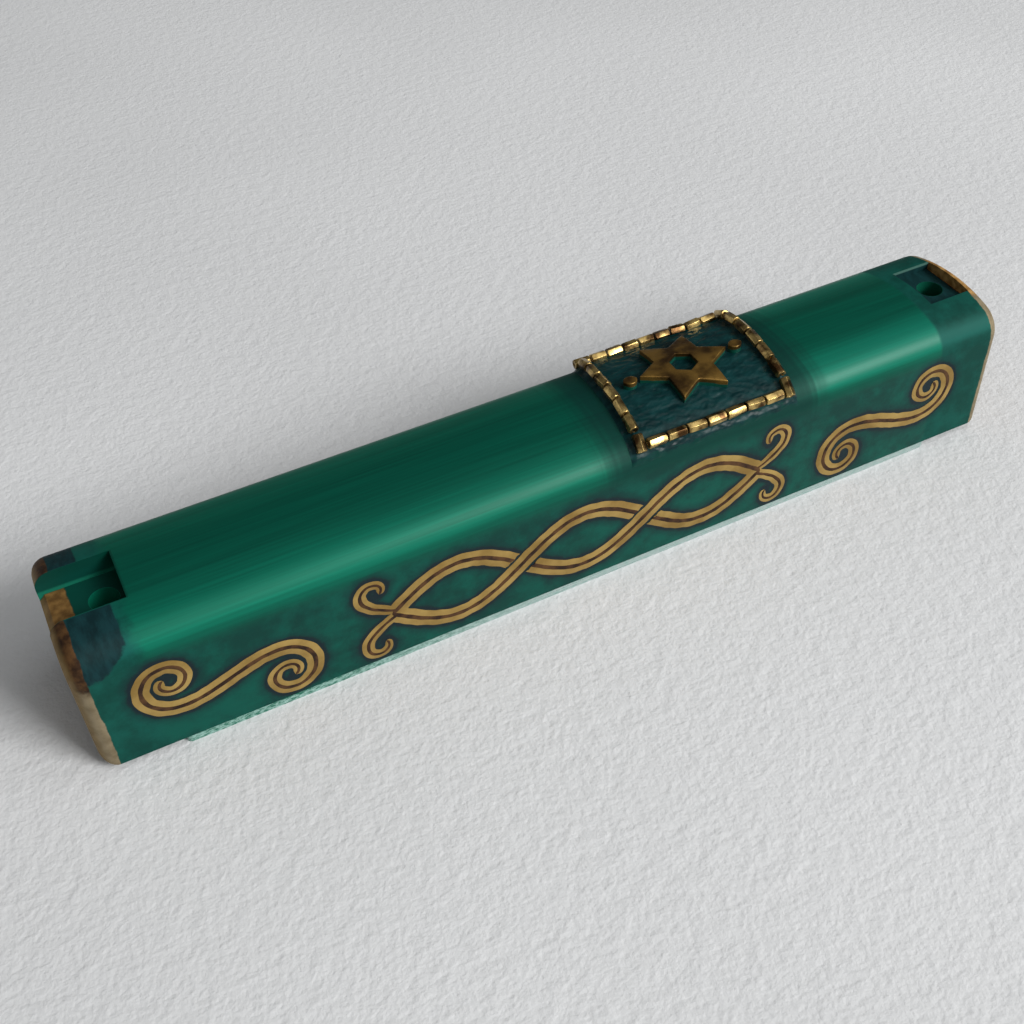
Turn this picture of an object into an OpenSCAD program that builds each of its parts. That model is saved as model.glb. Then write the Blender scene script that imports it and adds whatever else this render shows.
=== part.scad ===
// Wall-hung scroll case: a moulded housing with a crowned front, a snap-in back cover,
// a painted panel framed by bugle beads, and a nail hole in each end block.
// X runs along the case, with +X at the top when it hangs. Z points away from the wall.
// The origin is the centre of the back face. Rows of beads are named as seen on the wall.

/* [Housing] */
// Length over the rounded ends
case_l = 123.1; // [120:0.1:130]
// Width across the flat sides
case_w = 19.1; // [18.6:0.1:21]
// Height of the crown above the back face
case_h = 19.9; // [19:0.1:21]
// Rise of the crown arc, measured at the sides
crown_rise = 2.1; // [1.8:0.1:2.6]
// Radius of the two shoulders
shoulder_r = 4; // [3.5:0.1:4.5]
// Thickness of the moulded wall
wall_t = 1.6; // [1.3:0.1:1.8]
// Rounding of the edges around each end face
end_round = 1.9; // [1:0.1:2.4]
// Length of the scroll space
space_l = 103.2; // [100:0.1:103.6]
// Rounding of the upright corners of the scroll space
space_r = 1.2; // [0.8:0.1:2]

/* [Nail holes] */
// Radius of the nail holes
nail_r = 1.7; // [1.2:0.1:2]
// Place of the upper hole along the case
upper_hole_x = 57; // [56.8:0.1:57.2]
// Place of the lower hole along the case
lower_hole_x = -55.2; // [-56:0.1:-55]
// Width of the recess around each hole
recess_w = 7.8; // [5:0.1:9]
// Depth of the upper pocket below the crown
pocket_depth = 1.4; // [1:0.1:3]
// Inner end of the upper pocket along the case
pocket_x = 53.9; // [53.4:0.1:54.3]
// Length of the upper pocket, which is closed at its outer end
pocket_l = 6; // [5.6:0.1:6.2]
// Depth of the lower notch below the crown
notch_depth = 3.25; // [2:0.05:4]
// Inner end of the lower notch, which is open at its outer end
notch_x = -53; // [-53.4:0.1:-52.8]
// Bevel on the outer lip of the notch floor
lip_bevel = 0.7; // [0.2:0.1:1]

/* [Back cover] */
// Thickness of the cover plate
plate_t = 0.95; // [0.8:0.05:1.2]
// Length of the cover plate
plate_l = 104.4; // [104:0.1:105]
// Height of the rim that plugs into the housing
rim_h = 2.5; // [2:0.1:4]
// Thickness of the rim
rim_t = 1.2; // [1:0.1:1.5]
// Clearance between the rim and the housing
rim_gap = 0.2; // [0.15:0.05:0.3]
// How far the snap pips stand out of the rim
pip_out = 0.12; // [0.05:0.01:0.14]
// Snap pips along each side
pip_count = 3; // [2:1:5]

/* [Beaded panel] */
// Middle of the panel along the case
frame_x = 18.25; // [-20:0.25:25]
// Distance between the lower and upper rows
frame_l = 21; // [20:0.5:24]
// How far the left row is shifted along the case from the right row
frame_skew = 1.5; // [0:0.1:2]
// Height of the left and right rows on the shoulders, in degrees
row_angle = 48; // [40:1:55]
// Corner radius of the six-sided beads
bead_r = 0.72; // [0.6:0.02:0.76]
// Radius of the thread hole in a bead
thread_r = 0.25; // [0.15:0.05:0.3]
// Bevel on the ends of a bead
bead_bevel = 0.13; // [0.05:0.01:0.2]
// Gap between neighbouring beads
bead_gap = 0.12; // [0.08:0.02:0.2]
// Height of the bead axes above the housing
bead_lift = 0.8; // [0.78:0.01:0.85]
// Beads in the left row
left_count = 9; // [7:1:9]
// Beads in the right row
right_count = 7; // [6:1:8]
// Beads in the lower row
lower_count = 7; // [6:1:8]
// Beads in the upper row
upper_count = 7; // [6:1:8]
// Thickness of the paint ground that the beads are bedded in
ground_t = 0.35; // [0.2:0.05:0.5]
// Margin of the ground outside the bead axes
ground_margin = 1.3; // [1:0.1:2]
// How far the ground reaches below the left and right rows
ground_drop = 2.3; // [1.5:0.1:2.5]

/* [Emblem] */
// Height of the moulded emblem above the crown
emblem_h = 1.2; // [0.6:0.1:1.3]
// Radius to the points of the star
star_r = 6.2; // [4.5:0.1:6.2]
// Width of the strokes of the star
stroke_w = 1.5; // [0.8:0.05:1.6]
// Length of the leaf on each side of the star
leaf_l = 1.9; // [1.3:0.1:1.9]
// Width of each leaf
leaf_w = 1.5; // [1:0.1:1.8]
// Gap between the star and each leaf
leaf_gap = 0.4; // [0.3:0.1:0.5]

/* [Hidden] */
$fn = 96;
eps = 0.01;
// Back edge of the housing, a hair above the cover plate
seat_gap = 0.05;
base_z = plate_t + seat_gap;
// Crown arc and shoulder arcs, tangent to each other and to the sides
half_w = case_w / 2;
crown_r = (half_w * half_w + crown_rise * crown_rise) / (2 * crown_rise);
crown_z = case_h - crown_r;
shoulder_y = half_w - shoulder_r;
shoulder_z = crown_z + sqrt(pow(crown_r - shoulder_r, 2) - pow(shoulder_y, 2));
crown_angle = asin(shoulder_y / (crown_r - shoulder_r));
// Start of the rounded ends, and how far cuts run past the surface
cap_x = case_l / 2 - end_round;
spare = 1;
tall = case_h * 2;
// Size of the scroll space and of the rim that plugs into it
space_w = case_w - 2 * wall_t;
rim_l = space_l - 2 * rim_gap;
rim_w = space_w - 2 * rim_gap;
rim_r = space_r - rim_gap;
plate_r = 0.6;
pip_r = 0.5;
pip_l = 6;
pip_z = plate_t + rim_h * 0.6;
// Bead rows, measured along the line of the bead axes from the middle of the crown
row_turn = 90 - row_angle;
crown_run = (crown_r + bead_lift) * crown_angle * PI / 180;
row_run = crown_run + (shoulder_r + bead_lift) * (row_turn - crown_angle) * PI / 180;
row_y = shoulder_y + (shoulder_r + bead_lift) * sin(row_turn);
row_z = shoulder_z + (shoulder_r + bead_lift) * cos(row_turn);
side_gap = bead_r + bead_gap;
lower_x = frame_x - frame_l / 2;
upper_x = frame_x + frame_l / 2;
// Each bead is turned a little from its neighbour
turn_step = 17;
// The ground ends below the left and right rows
ground_z = row_z - ground_drop;
emblem_base = case_h - wall_t * 0.7;
emblem_clear = 0.04;

// A name for each bead of a row
function row_names(row, count) = [for (i = [1 : count]) str(row, "_bead_", i)];
LEFT = row_names("left", left_count);
RIGHT = row_names("right", right_count);
LOWER = row_names("lower", lower_count);
UPPER = row_names("upper", upper_count);

// Shift along the case at a distance from the centre line
function skew_at(y) = frame_skew * y / (2 * row_y);
// Turn of the crown and shoulder line away from level, a run along the bead axes
function turn_at(run) =
    let (far = abs(run))
    let (turn = far <= crown_run
        ? far / (crown_r + bead_lift) * 180 / PI
        : crown_angle + (far - crown_run) / (shoulder_r + bead_lift) * 180 / PI)
    sign(run) * turn;
// Place across the case, a run along the bead axes
function across(run) =
    let (turn = abs(turn_at(run)))
    let (y = abs(run) <= crown_run
        ? (crown_r + bead_lift) * sin(turn)
        : shoulder_y + (shoulder_r + bead_lift) * sin(turn))
    sign(run) * y;
// Height, a run along the bead axes
function height_at(run) =
    let (turn = abs(turn_at(run)))
    abs(run) <= crown_run
        ? crown_z + (crown_r + bead_lift) * cos(turn)
        : shoulder_z + (shoulder_r + bead_lift) * cos(turn);

// Cross-section of the housing, grown or shrunk all round
module section(grow = 0, base = base_z) {
    crown_start = [shoulder_y, shoulder_z - crown_z];
    crown_end = [tall * sin(crown_angle), tall * cos(crown_angle)];
    translate([-half_w - grow, base])
        square([case_w + 2 * grow, shoulder_z - base]);
    for (side = [-1, 1])
        translate([side * shoulder_y, shoulder_z])
            circle(shoulder_r + grow);
    translate([0, crown_z])
        intersection() {
            circle(crown_r + grow);
            polygon([
                [-crown_start.x, crown_start.y],
                [0, crown_start.y - shoulder_r],
                crown_start,
                crown_end,
                [-crown_end.x, crown_end.y]
            ]);
        }
}

// Stretch of a cross-section along the case
module along(x0, x1) {
    translate([x0, 0, 0])
        rotate([90, 0, 90])
            linear_extrude(x1 - x0)
                children();
}

module rounded_plate(l, w, r) {
    square([l - 2 * r, w], center = true);
    square([l, w - 2 * r], center = true);
    for (x = [-1, 1], y = [-1, 1])
        translate([x * (l / 2 - r), y * (w / 2 - r)])
            circle(r);
}

// What a quarter-round edge takes away, across the edge and then along the case
module edge_waste(out) {
    translate([out - end_round, 0])
        difference() {
            square(end_round + spare);
            circle(end_round);
        }
}

// Rounding along one arc of the cross-section, its turns measured from straight up
module arc_waste(y, z, r, from, to) {
    translate([cap_x, y, z])
        rotate([0, 90, 0])
            rotate(180 - to)
                rotate_extrude(angle = to - from)
                    edge_waste(r);
}

// Rounding of the edges around the upper end face
module end_waste() {
    arc_waste(0, crown_z, crown_r, -crown_angle, crown_angle);
    arc_waste(shoulder_y, shoulder_z, shoulder_r, crown_angle, 90);
    arc_waste(-shoulder_y, shoulder_z, shoulder_r, -90, -crown_angle);
    for (side = [0, 1])
        mirror([0, side, 0])
            translate([cap_x, 0, 0])
                linear_extrude(shoulder_z)
                    mirror([1, -1])
                        edge_waste(half_w);
    translate([cap_x, case_w, 0])
        rotate([90, 0, 0])
            linear_extrude(2 * case_w)
                rotate(-90)
                    edge_waste(-base_z);
}

module scroll_space() {
    intersection() {
        along(-space_l / 2, space_l / 2)
            section(-wall_t, -base_z);
        translate([0, 0, -tall / 2])
            linear_extrude(2 * tall)
                rounded_plate(space_l, space_w + 2 * eps, space_r);
    }
}

module nail_hole(x) {
    translate([x, 0, -eps])
        cylinder(r = nail_r, h = tall);
}

module upper_pocket() {
    translate([pocket_x, -recess_w / 2, case_h - pocket_depth])
        cube([pocket_l, recess_w, tall]);
}

// Open notch with a bevelled outer lip
module lower_notch() {
    floor_z = case_h - notch_depth;
    lip_x = -case_l / 2;
    translate([0, recess_w / 2, 0])
        rotate([90, 0, 0])
            linear_extrude(recess_w)
                polygon([
                    [notch_x, floor_z],
                    [lip_x + lip_bevel, floor_z],
                    [lip_x - lip_bevel, floor_z - 2 * lip_bevel],
                    [lip_x - lip_bevel, tall],
                    [notch_x, tall]
                ]);
}

module star() {
    for (turn = [0, 180])
        rotate(turn)
            difference() {
                circle(star_r, $fn = 3);
                circle(star_r - 2 * stroke_w, $fn = 3);
            }
}

// Pointed leaf from two crossing arcs
module leaf(l, w) {
    arc_r = (l * l + w * w) / (4 * w);
    intersection_for (side = [-1, 1])
        translate([0, side * (arc_r - w / 2)])
            circle(arc_r);
}

module leaves(grow = 0) {
    for (side = [-1, 1])
        translate([side * (star_r + leaf_gap + leaf_l / 2), 0])
            leaf(leaf_l + 2 * grow, leaf_w + 2 * grow);
}

module emblem_outline() {
    star();
    leaves();
}

// Clear ground around the emblem, and bare crown inside the star
module emblem_window() {
    for (turn = [0, 180])
        rotate(turn)
            circle(star_r + 2 * emblem_clear, $fn = 3);
    leaves(emblem_clear);
}

// Emblem raised from the crown, its top following the arch
module emblem() {
    intersection() {
        translate([frame_x, 0, emblem_base])
            linear_extrude(tall)
                emblem_outline();
        along(lower_x, upper_x)
            translate([0, crown_z])
                circle(crown_r + emblem_h);
    }
}

module case_body() {
    color("seagreen")
        difference() {
            union() {
                along(-case_l / 2, case_l / 2)
                    section();
                emblem();
            }
            end_waste();
            mirror([1, 0, 0])
                end_waste();
            scroll_space();
            upper_pocket();
            lower_notch();
            nail_hole(upper_hole_x);
            nail_hole(lower_hole_x);
        }
}

module back_cover() {
    pip_step = rim_l / pip_count;
    color("azure", 0.5) {
        linear_extrude(plate_t)
            rounded_plate(plate_l, case_w, plate_r);
        linear_extrude(plate_t + rim_h)
            difference() {
                rounded_plate(rim_l, rim_w, rim_r);
                square([rim_l - 2 * rim_t, rim_w - 2 * rim_t], center = true);
            }
        for (i = [0 : pip_count - 1], side = [-1, 1])
            translate([(i + 0.5) * pip_step - rim_l / 2, side * (rim_w / 2 + pip_out - pip_r), pip_z])
                rotate([0, 90, 0])
                    cylinder(r = pip_r, h = pip_l, center = true);
    }
}

// Six-sided bead with bevelled ends and a thread hole, lying along X
module bead(l, turn) {
    end_r = bead_r - bead_bevel;
    color("darkgoldenrod")
        rotate([turn, 0, 0])
            rotate([0, 90, 0])
                difference() {
                    intersection() {
                        cylinder(r = bead_r, h = l, center = true, $fn = 6);
                        rotate_extrude()
                            polygon([
                                [0, -l / 2],
                                [end_r, -l / 2],
                                [bead_r, -l / 2 + bead_bevel],
                                [bead_r, l / 2 - bead_bevel],
                                [end_r, l / 2],
                                [0, l / 2]
                            ]);
                    }
                    cylinder(r = thread_r, h = l + spare, center = true);
                }
}

// Bead i of a row along the case, on the left or right shoulder
module shoulder_bead(i, count, x0, x1, side) {
    pitch = (x1 - x0) / count;
    translate([x0 + (i + 0.5) * pitch, side * row_y, row_z])
        bead(pitch - bead_gap, side * row_turn + i * turn_step);
}

// How much a bead gives up at a joint in its row, so that it clears its tilted neighbour
function bend_trim(run, next) = bead_r * tan(abs(turn_at(next) - turn_at(run)) / 2);

// Bead i of a row across the crown
module crown_bead(i, count, run0, run1, x) {
    pitch = (run1 - run0) / count;
    run = run0 + (i + 0.5) * pitch;
    near_trim = i > 0 ? bend_trim(run, run - pitch) : 0;
    far_trim = i < count - 1 ? bend_trim(run, run + pitch) : 0;
    translate([x + skew_at(across(run)), across(run), height_at(run)])
        rotate([-turn_at(run), 0, 0])
            rotate([0, 0, 90 - atan(frame_skew / (2 * row_y))])
                translate([(near_trim - far_trim) / 2, 0, 0])
                    bead(pitch - bead_gap - near_trim - far_trim, i * turn_step);
}

module left_bead(i) {
    shift = skew_at(row_y);
    shoulder_bead(i, left_count, lower_x + shift - side_gap, upper_x + shift - side_gap, 1);
}

module right_bead(i) {
    shift = skew_at(-row_y);
    shoulder_bead(i, right_count, lower_x + shift + side_gap, upper_x + shift - side_gap, -1);
}

module lower_bead(i) {
    crown_bead(i, lower_count, -row_run - side_gap, row_run - side_gap, lower_x);
}

module upper_bead(i) {
    crown_bead(i, upper_count, -row_run - side_gap, row_run + side_gap, upper_x);
}

module all_beads() {
    for (i = [0 : left_count - 1])
        left_bead(i);
    for (i = [0 : right_count - 1])
        right_bead(i);
    for (i = [0 : lower_count - 1])
        lower_bead(i);
    for (i = [0 : upper_count - 1])
        upper_bead(i);
}

// Thick paint over the crown, pressed into by the beads and cut out around the emblem
module panel_ground() {
    x0 = lower_x - ground_margin;
    x1 = upper_x + ground_margin;
    tilt = frame_skew / 2 * half_w / row_y;
    color("darkslategray")
        difference() {
            intersection() {
                along(x0 - frame_skew, x1 + frame_skew)
                    difference() {
                        section(ground_t);
                        section(0);
                    }
                translate([0, 0, ground_z])
                    linear_extrude(tall)
                        polygon([
                            [x0 - tilt, -half_w - ground_t],
                            [x1 - tilt, -half_w - ground_t],
                            [x1 + tilt, half_w + ground_t],
                            [x0 + tilt, half_w + ground_t]
                        ]);
            }
            translate([frame_x, 0, emblem_base])
                linear_extrude(tall)
                    emblem_window();
            all_beads();
        }
}

case_body();
back_cover();
panel_ground();
for (i = [0 : left_count - 1])
    left_bead(i);
for (i = [0 : right_count - 1])
    right_bead(i);
for (i = [0 : lower_count - 1])
    lower_bead(i);
for (i = [0 : upper_count - 1])
    upper_bead(i);
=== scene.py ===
# %% [markdown]
# # A painted scroll case
# The case is a slim moulded housing with a crowned front. It hangs on a door post by two nails.
# Its owner painted it emerald, gilded both ends, drew a scroll ornament on its sides, and framed
# a raised star with small metal beads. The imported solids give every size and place, so the
# lesson starts by loading them. New pieces are then laid over them in the same frame, in metres.

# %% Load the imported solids
import math

import bpy
import numpy as np
from mathutils import Euler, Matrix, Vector, noise


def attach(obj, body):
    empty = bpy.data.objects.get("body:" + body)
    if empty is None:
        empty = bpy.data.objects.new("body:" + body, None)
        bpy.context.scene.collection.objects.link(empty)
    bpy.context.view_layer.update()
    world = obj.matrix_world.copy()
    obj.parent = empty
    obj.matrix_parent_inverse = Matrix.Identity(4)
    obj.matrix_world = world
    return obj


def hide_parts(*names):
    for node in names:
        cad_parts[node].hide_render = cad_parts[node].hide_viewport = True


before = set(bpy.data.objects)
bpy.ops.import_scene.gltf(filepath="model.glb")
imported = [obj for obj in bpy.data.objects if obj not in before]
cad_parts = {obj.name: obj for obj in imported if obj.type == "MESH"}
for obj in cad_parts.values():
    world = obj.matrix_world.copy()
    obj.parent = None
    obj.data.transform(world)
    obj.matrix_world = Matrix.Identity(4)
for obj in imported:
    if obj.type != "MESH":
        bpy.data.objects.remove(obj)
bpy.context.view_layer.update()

MM = 0.001

# %% [markdown]
# ## Working by hand, in code
# Operators act on whatever is selected, so each step first clears the selection and picks one
# piece. Points are easier to think about in millimetres, so two helpers read and write them so.

# %% Selecting, moving points and editing
def clear_selection():
    if bpy.context.mode != "OBJECT":
        bpy.ops.object.mode_set(mode="OBJECT")
    bpy.ops.object.select_all(action="DESELECT")


def pick(piece):
    clear_selection()
    piece.select_set(True)
    bpy.context.view_layer.objects.active = piece


def edit(piece):
    pick(piece)
    bpy.ops.object.mode_set(mode="EDIT")
    bpy.ops.mesh.select_all(action="SELECT")


def leave_edit():
    bpy.ops.object.mode_set(mode="OBJECT")


def new_piece(name):
    piece = bpy.context.object
    piece.name = piece.data.name = name
    return piece


def get_points(piece):
    flat = np.empty(len(piece.data.vertices) * 3, np.float32)
    piece.data.vertices.foreach_get("co", flat)
    return flat.reshape(-1, 3).astype(float) / MM


def set_points(piece, places):
    flat = np.asarray(places, float) * MM
    piece.data.vertices.foreach_set("co", flat.astype(np.float32).ravel())
    piece.data.update()


def store(piece, name, values):
    layer = piece.data.attributes.new(name, "FLOAT", "POINT")
    layer.data.foreach_set("value", np.asarray(values, np.float32))


def apply_modifiers(piece):
    pick(piece)
    for modifier in list(piece.modifiers):
        bpy.ops.object.modifier_apply(modifier=modifier.name)


def smooth(piece, degrees):
    pick(piece)
    bpy.ops.object.shade_smooth_by_angle(angle=math.radians(degrees))


# %% [markdown]
# ## Sheets that are bent
# Paint is a skin and the housing is a shell, so most pieces here start as a flat grid. Every
# corner of the grid is sent to its place, as paper is bent over a former. A bevelled block would
# give the same outlines, but its faces are long and uneven, and the paint is mapped by points
# that have to lie close together.

# %% A flat grid that is bent into a form
MERGE = 0.001


def bent_sheet(name, places):
    """A grid of cells whose corner i, j goes to places[i, j], in millimetres."""
    rows, columns = places.shape[:2]
    clear_selection()
    bpy.ops.mesh.primitive_grid_add(
        x_subdivisions=rows - 1, y_subdivisions=columns - 1, size=2 * MM
    )
    piece = new_piece(name)
    flat = get_points(piece)
    i = np.rint((flat[:, 0] + 1) / 2 * (rows - 1)).astype(int)
    j = np.rint((flat[:, 1] + 1) / 2 * (columns - 1)).astype(int)
    set_points(piece, places[i, j])
    return piece


def close_up(piece):
    """Joins a sheet's meeting edges, fills its open ends and turns its faces outwards."""
    edit(piece)
    bpy.ops.mesh.remove_doubles(threshold=MERGE * MM)
    bpy.ops.mesh.fill_holes(sides=0)
    bpy.ops.mesh.normals_make_consistent(inside=False)
    leave_edit()


def face_towards(piece, direction):
    """Turns a sheet over if it faces away from a direction."""
    normals = np.array([face.normal for face in piece.data.polygons])
    if normals.mean(axis=0) @ np.array(direction) < 0:
        edit(piece)
        bpy.ops.mesh.flip_normals()
        leave_edit()


def thicken(piece, thickness):
    """Makes a sheet a closed film, with its front where it was."""
    solid = piece.modifiers.new("solid", "SOLIDIFY")
    solid.thickness, solid.offset = thickness * MM, -1
    apply_modifiers(piece)


def ripple(places, scale, seed=0.0):
    """Smooth random values, about -1 to 1, at places given in millimetres."""
    spots = [(x * scale[0] + seed, y * scale[1], z * scale[2]) for x, y, z in places]
    return np.array([noise.noise(Vector(spot)) for spot in spots])


# %% [markdown]
# ## The camera, the paper and the light
# The photograph looks down on the case from its lower left corner, so the camera stands about
# 17 cm away. The case lies on white paper with a soft tooth. Daylight comes from a window in
# front of the case, at the right, and leaves a long soft gleam on the near shoulder. The room
# adds little: a weak ceiling light, and weak fills from the left wall and from behind.

# %% Camera
CAMERA_PLACE = (-54.12, -105.49, 118.52)
CAMERA_TURN = (45.98, 2.285, -26.71)
bpy.ops.object.camera_add(
    location=Vector(CAMERA_PLACE) * MM,
    rotation=[math.radians(angle) for angle in CAMERA_TURN],
)
camera = bpy.context.object
camera.data.sensor_width, camera.data.lens = 36, 45.17
camera.data.clip_start = 1 * MM
bpy.context.scene.camera = camera
bpy.context.scene.view_settings.view_transform = "Standard"
print("camera", [round(v, 3) for v in camera.location])

# %% Paper floor
PAPER_SIZE, PAPER_CELLS = 3, 8
clear_selection()
bpy.ops.mesh.primitive_grid_add(
    x_subdivisions=PAPER_CELLS, y_subdivisions=PAPER_CELLS, size=PAPER_SIZE
)
floor = new_piece("paper_floor")
print("paper", PAPER_SIZE, "m wide")

# %% Soft window light and a dim room
LIT_POINT = Vector((0, 0, 0.01))
DAYLIGHT, BOUNCED = (1.0, 0.995, 0.985), (0.97, 0.985, 1.0)
ROOM_TINT, ROOM_GLOW = (0.93, 0.96, 1.0, 1.0), 0.1


def window(name, place, size, power, tint):
    bpy.ops.object.light_add(type="AREA", location=place)
    lamp = bpy.context.object
    lamp.name = name
    lamp.data.shape = "RECTANGLE"
    lamp.data.size, lamp.data.size_y = size
    lamp.data.energy = power
    lamp.data.color = tint
    lamp.rotation_euler = (LIT_POINT - lamp.location).to_track_quat("-Z", "Y").to_euler()


window("window", (0.96, -1.38, 1.08), (0.84, 0.74), 41.0, DAYLIGHT)
window("ceiling", (0.50, -0.40, 1.0), (1.2, 1.2), 5.6, DAYLIGHT)
window("left_wall", (-0.55, -0.75, 0.55), (0.9, 0.6), 1.0, BOUNCED)
window("back_wall", (-1.0, 1.15, 0.5), (1.0, 0.5), 1.5, BOUNCED)
world = bpy.data.worlds.new("dim_room")
world.use_nodes = True
world.node_tree.nodes["Background"].inputs["Color"].default_value = ROOM_TINT
world.node_tree.nodes["Background"].inputs["Strength"].default_value = ROOM_GLOW
bpy.context.scene.world = world

# %% [markdown]
# ## The cross-section
# Every piece on the front follows one outline: a wide crown arc that runs into a tight arc on
# each shoulder, and then into the flat sides. A point on it is named by how far the surface has
# turned from facing straight up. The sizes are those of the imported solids.

# %% Outline of the housing
HALF_W, BASE_Z, CASE_H = 9.55, 1.0, 19.9
SHOULDER_R, CROWN_RISE = 4.0, 2.1
CROWN_R = (HALF_W**2 + CROWN_RISE**2) / (2 * CROWN_RISE)
CROWN_Z = CASE_H - CROWN_R
SHOULDER_Y = HALF_W - SHOULDER_R
SHOULDER_Z = CROWN_Z + math.sqrt((CROWN_R - SHOULDER_R) ** 2 - SHOULDER_Y**2)
CROWN_TURN = math.asin(SHOULDER_Y / (CROWN_R - SHOULDER_R))
CROWN_RUN = CROWN_R * CROWN_TURN


def front_line(turns, lift=0.0):
    """Places y, z on the crowned front at turns from straight up, raised by lift."""
    turns = np.asarray(turns, float)
    on_crown = np.abs(turns) <= CROWN_TURN
    radius = np.where(on_crown, CROWN_R, SHOULDER_R) + lift
    y = np.where(on_crown, 0, np.sign(turns) * SHOULDER_Y) + radius * np.sin(turns)
    z = np.where(on_crown, CROWN_Z, SHOULDER_Z) + radius * np.cos(turns)
    return y, z


def run_at(degrees):
    """Run along the front, from the middle of the crown, to a turn on the shoulder."""
    return CROWN_RUN + SHOULDER_R * (math.radians(degrees) - CROWN_TURN)


def turn_at(run):
    """Turn of the surface at a run along the front, from the middle of the crown."""
    far = np.abs(run)
    past = CROWN_TURN + (far - CROWN_RUN) / SHOULDER_R
    return np.sign(run) * np.where(far <= CROWN_RUN, far / CROWN_R, past)


def ring(inset, base=BASE_Z, side_cells=46, shoulder_cells=14, crown_cells=26, floor_cells=12):
    """The closed outline, shrunk all round by inset."""
    half, bottom = HALF_W - inset, base + inset
    rise = np.linspace(bottom, SHOULDER_Z, side_cells + 1)[:-1]
    quarter = math.pi / 2
    turns = np.concatenate([
        np.linspace(-quarter, -CROWN_TURN, shoulder_cells + 1)[:-1],
        np.linspace(-CROWN_TURN, CROWN_TURN, crown_cells + 1)[:-1],
        np.linspace(CROWN_TURN, quarter, shoulder_cells + 1),
    ])
    y, z = front_line(turns, -inset)
    back = np.linspace(half, -half, floor_cells + 1)[1:]
    return np.column_stack([
        np.concatenate([np.full_like(rise, -half), y, np.full_like(rise, half), back]),
        np.concatenate([rise, z, rise[::-1], np.full_like(back, bottom)]),
    ])


def wrapped(name, stations, **cells):
    """A closed form of outlines at stations of place along the case and inset."""
    places = []
    for x, inset in stations:
        outline = ring(inset, **cells)
        places.append(np.column_stack([np.full(len(outline), x), outline]))
    piece = bent_sheet(name, np.array(places))
    close_up(piece)
    return piece


print("crown radius", round(CROWN_R, 2))
print("shoulders start at", round(math.degrees(CROWN_TURN), 1), "degrees")

# %% [markdown]
# ## The housing
# The housing is one moulding with rounded ends. A grid is wrapped round the outline like paper
# round a former, with closely set stations, because the paint on it is mapped by its points. At
# each end the outline shrinks through a quarter turn, which rounds the edge.

# %% Wrap the shell
CASE_L, END_ROUND = 123.1, 1.9
CAP_STATIONS, BODY_STATIONS = 9, 361
CAP_X = CASE_L / 2 - END_ROUND
cap_turns = np.radians(np.linspace(0, 90, CAP_STATIONS))[1:]
upper_cap = [(CAP_X + END_ROUND * math.sin(t), END_ROUND * (1 - math.cos(t))) for t in cap_turns]
lower_cap = [(-x, inset) for x, inset in reversed(upper_cap)]
body = [(x, 0.0) for x in np.linspace(-CAP_X, CAP_X, BODY_STATIONS)]
shell = wrapped("case_shell", lower_cap + body + upper_cap)
print("shell points", len(shell.data.vertices))

# %% [markdown]
# ## Hollows
# The scroll space is open at the back. A nail hole goes through each end block, from a closed
# pocket at the upper end and from an open notch at the lower one. Each hollow is a solid of its
# own, and a boolean takes it out of the shell. Extruding faces inwards would need the shell's
# grid to follow the hollows' edges, which would spoil its even cells.

# %% Blocks that cut
NAIL_R, NAIL_CUT, NAIL_SIDES = 1.7, 60, 48


def prism(name, outline, y0, y1):
    """A block with an outline of x, z corners, pulled along Y."""
    clear_selection()
    bpy.ops.mesh.primitive_circle_add(vertices=len(outline), fill_type="NGON")
    piece = new_piece(name)
    set_points(piece, [(x, y0, z) for x, z in outline])
    edit(piece)
    bpy.ops.mesh.extrude_region_move(TRANSFORM_OT_translate={"value": (0, (y1 - y0) * MM, 0)})
    bpy.ops.mesh.select_all(action="SELECT")
    bpy.ops.mesh.normals_make_consistent(inside=False)
    leave_edit()
    return piece


def nail_hole(x):
    clear_selection()
    bpy.ops.mesh.primitive_cylinder_add(
        vertices=NAIL_SIDES, radius=NAIL_R * MM, depth=NAIL_CUT * MM, location=(x * MM, 0, 0)
    )
    return new_piece("nail_hole_cut")


def cut(piece, tool):
    modifier = piece.modifiers.new("cut", "BOOLEAN")
    modifier.operation = "DIFFERENCE"
    modifier.solver = "EXACT"
    modifier.object = tool
    apply_modifiers(piece)
    bpy.data.objects.remove(tool)


# %% Take the hollows out
WALL, SPACE_X = 1.6, 51.6
NOTCH_X, NOTCH_Z, LIP = -53.0, 16.65, 0.7
POCKET_X, POCKET_Z, RECESS = (53.9, 59.9), 18.5, 3.9
END_X, ABOVE = CASE_L / 2, 26.0
UPPER_NAIL_X, LOWER_NAIL_X = 57.0, -55.2
space = wrapped(
    "scroll_space_cut", [(-SPACE_X, WALL), (SPACE_X, WALL)],
    base=-1 - WALL, side_cells=4, floor_cells=2,
)
notch = prism("notch_cut", [
    (NOTCH_X, NOTCH_Z), (LIP - END_X, NOTCH_Z), (-LIP - END_X, NOTCH_Z - 2 * LIP),
    (-LIP - END_X, ABOVE), (NOTCH_X, ABOVE),
], -RECESS, RECESS)
pocket = prism("pocket_cut", [
    (POCKET_X[0], POCKET_Z), (POCKET_X[1], POCKET_Z), (POCKET_X[1], ABOVE), (POCKET_X[0], ABOVE),
], -RECESS, RECESS)
for tool in (space, notch, pocket, nail_hole(UPPER_NAIL_X), nail_hole(LOWER_NAIL_X)):
    cut(shell, tool)
smooth(shell, degrees=32)
print("shell faces", len(shell.data.polygons))

# %% [markdown]
# ## The scroll ornament
# Both sides carry a hand-drawn ornament: a twist of two strands between two S-scrolls, all
# common motifs. Each strand is a gold band with a dark line along its middle. A strand could be
# a curve with handles, but it is drawn as a walk: it goes forward in small steps and turns by a
# changing amount, which gives scrolls that tighten evenly.

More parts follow.
